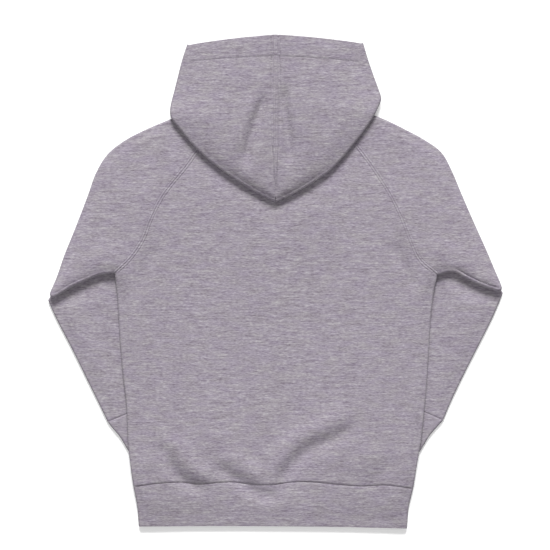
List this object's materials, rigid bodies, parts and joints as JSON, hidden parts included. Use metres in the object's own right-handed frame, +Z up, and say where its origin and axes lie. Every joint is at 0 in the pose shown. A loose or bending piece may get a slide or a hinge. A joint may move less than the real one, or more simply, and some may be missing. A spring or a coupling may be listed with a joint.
{
  "type": "toddler hoodie",
  "caption": "Toddler raglan pullover hoodie laid flat on its front: hood spread on the back, forearms tucked under the body, plain hem band and cuffs.",
  "frame": {"origin": "centre of the garment's plan, at the surface it lies on", "axes": "+Z up out of the surface, towards the back panel that shows; +Y towards the top of the hood; +X to the wearer's right"},
  "size_m": [0.4906, 0.5318, 0.021],
  "materials": {
    "heather_knit": "matt brushed sweatshirt knit, lilac grey heather",
    "heather_band": "matt knit band, lilac grey heather"
  },
  "bodies": {
    "root": {"front": "heather_knit", "back": "heather_knit", "sleeve_left": "heather_knit", "sleeve_right": "heather_knit", "cuff_left": "heather_band", "cuff_right": "heather_band", "hem_band": "heather_band", "hood_left": "heather_knit", "hood_right": "heather_knit"}
  },
  "joints": []
}
